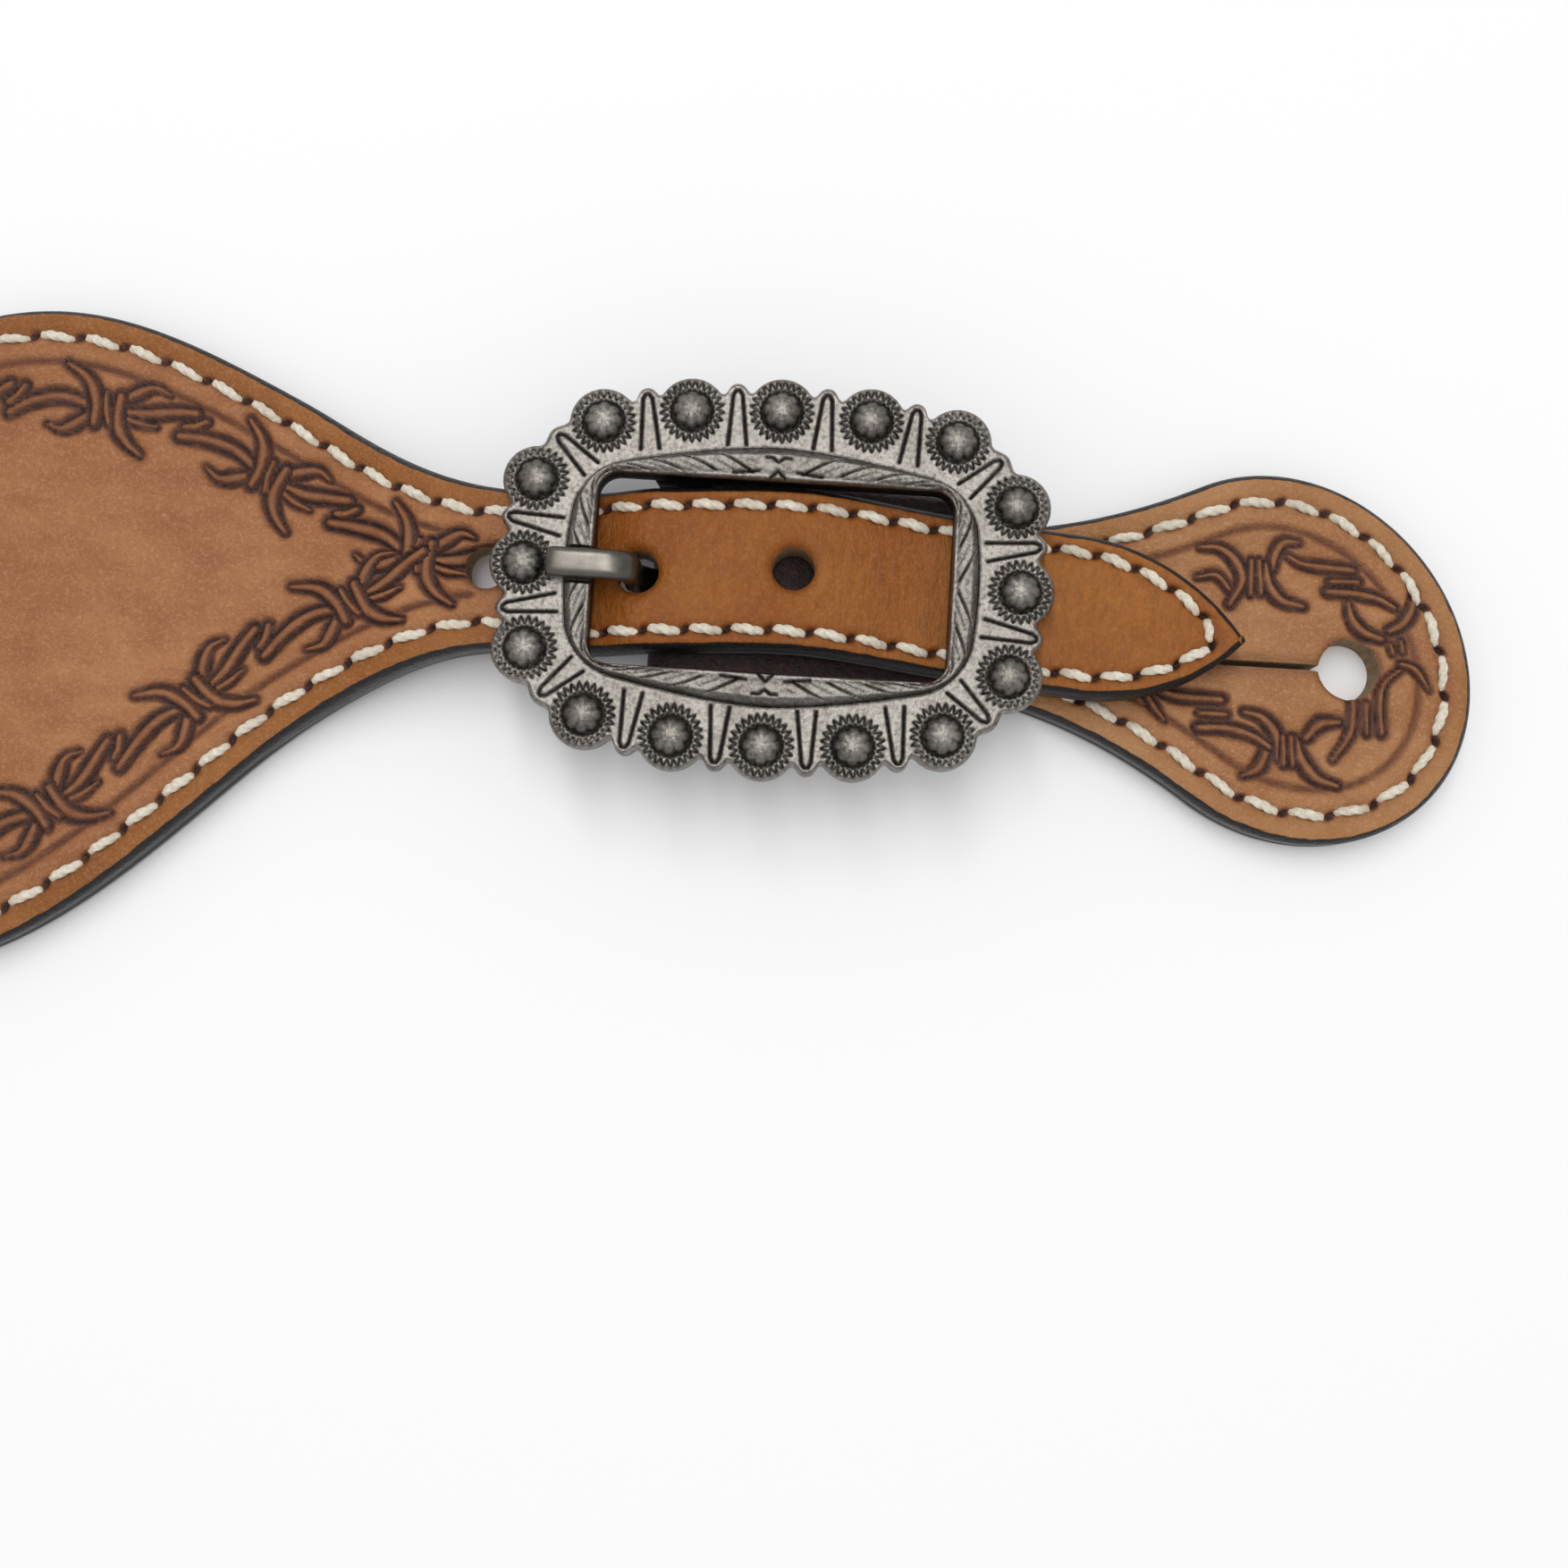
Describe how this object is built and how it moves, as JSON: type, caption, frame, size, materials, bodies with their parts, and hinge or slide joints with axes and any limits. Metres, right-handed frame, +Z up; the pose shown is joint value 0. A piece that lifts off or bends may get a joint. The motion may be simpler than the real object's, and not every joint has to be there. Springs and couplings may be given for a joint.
{
  "type": "western spur strap",
  "caption": "Tooled leather spur strap with a wide shaped body and slit round ends, closed by a scalloped cast buckle with a pivoting tongue.",
  "frame": {"origin": "on the surface that the strap lies on, under the middle of the buckle", "axes": "+X along the buckle towards the short button tab, +Z up out of the tooled side, +Y across the strap"},
  "size_m": [0.261, 0.0699, 0.0145],
  "materials": {
    "tooled_leather": "waxed, tooled and antiqued vegetable-tanned grain",
    "lining_leather": "smooth lining with burnished black edges",
    "thread": "waxed off-white twisted thread",
    "cast_pewter": "antique cast, dark in the recesses and rubbed bright on top",
    "steel": "satin"
  },
  "bodies": {
    "strap": {"billet_outer": "tooled_leather", "billet_lining": "lining_leather", "billet_thread": "thread", "buckle_frame": "cast_pewter", "buckle_bar": "steel", "tab_outer": "tooled_leather", "tab_lining": "lining_leather", "tab_thread": "thread"},
    "tongue": {"buckle_tongue": "steel"},
    "wing": {"wing_outer": "tooled_leather", "wing_lining": "lining_leather", "wing_thread": "thread"},
    "tip": {"tip_outer": "tooled_leather", "tip_lining": "lining_leather", "tip_thread": "thread"},
    "lobe": {"lobe_outer": "tooled_leather", "lobe_lining": "lining_leather", "lobe_thread": "thread"}
  },
  "joints": [
    {"name": "tongue_pivot", "type": "hinge", "parent": "strap", "child": "tongue", "pos_m": [-0.0095, 0, 0.004], "axis": [0, 1, 0], "range_deg": [0, 8]},
    {"name": "wing_flex", "type": "hinge", "parent": "strap", "child": "wing", "pos_m": [-0.04, 0, 0.0064], "axis": [0, 1, 0], "range_deg": [0, 35], "stiffness_Nm_per_rad": 0.02},
    {"name": "tip_lift", "type": "hinge", "parent": "strap", "child": "tip", "pos_m": [0.029, 0, 0.0091], "axis": [0, -1, 0], "range_deg": [0, 35], "stiffness_Nm_per_rad": 0.005},
    {"name": "lobe_flex", "type": "hinge", "parent": "strap", "child": "lobe", "pos_m": [0.0488, 0, 0.0048], "axis": [0, -1, 0], "range_deg": [0, 30], "stiffness_Nm_per_rad": 0.01}
  ]
}
